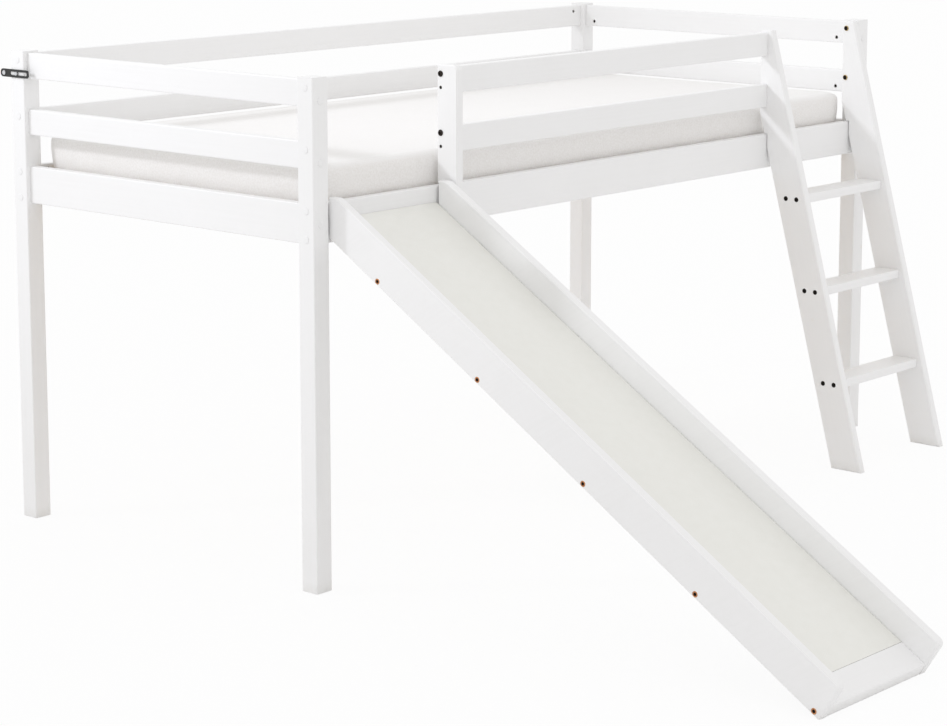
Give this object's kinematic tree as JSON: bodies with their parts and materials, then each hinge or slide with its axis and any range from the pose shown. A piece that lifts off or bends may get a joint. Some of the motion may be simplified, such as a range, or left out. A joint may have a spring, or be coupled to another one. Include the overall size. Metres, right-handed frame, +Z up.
{
  "type": "loft bed with slide",
  "caption": "Mid-height children's loft bed in white painted pine, with a straight slide and a slanted ladder on its front, guard rails all round, a slatted base and a mattress.",
  "frame": {"origin": "on the floor, under the centre of the front left post's foot", "axes": "+X along the bed from the slide end to the ladder end, +Y from the front, where the slide runs down, to the back, +Z up"},
  "size_m": [2.0773, 2.2763, 1.095],
  "materials": {
    "white_paint": "satin",
    "cream_laminate": "gloss",
    "bare_pine": "matte",
    "mattress_cover": "matte",
    "white_webbing": "matte",
    "zinc_plate": "satin",
    "black_oxide": "satin",
    "black_enamel": "satin"
  },
  "bodies": {
    "bed": {"front_left_post": "white_paint", "front_right_post": "white_paint", "back_left_post": "white_paint", "back_right_post": "white_paint", "left_top_rail": "white_paint", "left_middle_rail": "white_paint", "left_side_board": "white_paint", "right_top_rail": "white_paint", "right_middle_rail": "white_paint", "right_side_board": "white_paint", "back_top_rail": "white_paint", "back_middle_rail": "white_paint", "back_side_board": "white_paint", "front_side_board": "white_paint", "guard_upright": "white_paint", "guard_top_rail": "white_paint", "guard_middle_rail": "white_paint", "ladder_left_stile": "white_paint", "ladder_right_stile": "white_paint", "ladder_tread_1": "white_paint", "ladder_tread_2": "white_paint", "ladder_tread_3": "white_paint", "upright_top_bolt": "black_oxide", "upright_middle_bolt": "black_oxide", "left_stile_top_bolt": "black_oxide", "left_stile_middle_bolt": "black_oxide", "right_stile_top_bolt": "black_oxide", "right_stile_middle_bolt": "black_oxide", "left_stile_screw": "black_oxide", "right_stile_screw": "black_oxide", "slide_left_wall": "white_paint", "slide_right_wall": "white_paint", "slide_panel": "cream_laminate", "slide_end_board": "white_paint", "slide_batten_1": "white_paint", "slide_batten_2": "white_paint", "slide_batten_3": "white_paint", "slide_batten_4": "white_paint", "slide_left_bracket": "zinc_plate", "slide_right_bracket": "zinc_plate", "front_slat_support": "bare_pine", "back_slat_support": "bare_pine", "slat_01": "bare_pine", "slat_02": "bare_pine", "slat_03": "bare_pine", "slat_04": "bare_pine", "slat_05": "bare_pine", "slat_06": "bare_pine", "slat_07": "bare_pine", "slat_08": "bare_pine", "slat_09": "bare_pine", "slat_10": "bare_pine", "slat_11": "bare_pine", "slat_12": "bare_pine", "front_slat_tape": "white_webbing", "back_slat_tape": "white_webbing", "wall_strap_screw": "black_oxide"},
    "loose_mattress": {"mattress": "mattress_cover"},
    "sliding_strap": {"wall_strap": "black_enamel", "wall_strap_rivet": "zinc_plate"}
  },
  "joints": [
    {"name": "mattress_lift", "type": "slide", "parent": "bed", "child": "loose_mattress", "axis": [0, 0, 1], "range_m": [0, 0.32]},
    {"name": "wall_strap_slide", "type": "slide", "parent": "bed", "child": "sliding_strap", "axis": [0, 1, 0], "range_m": [-0.015, 0.033]}
  ]
}
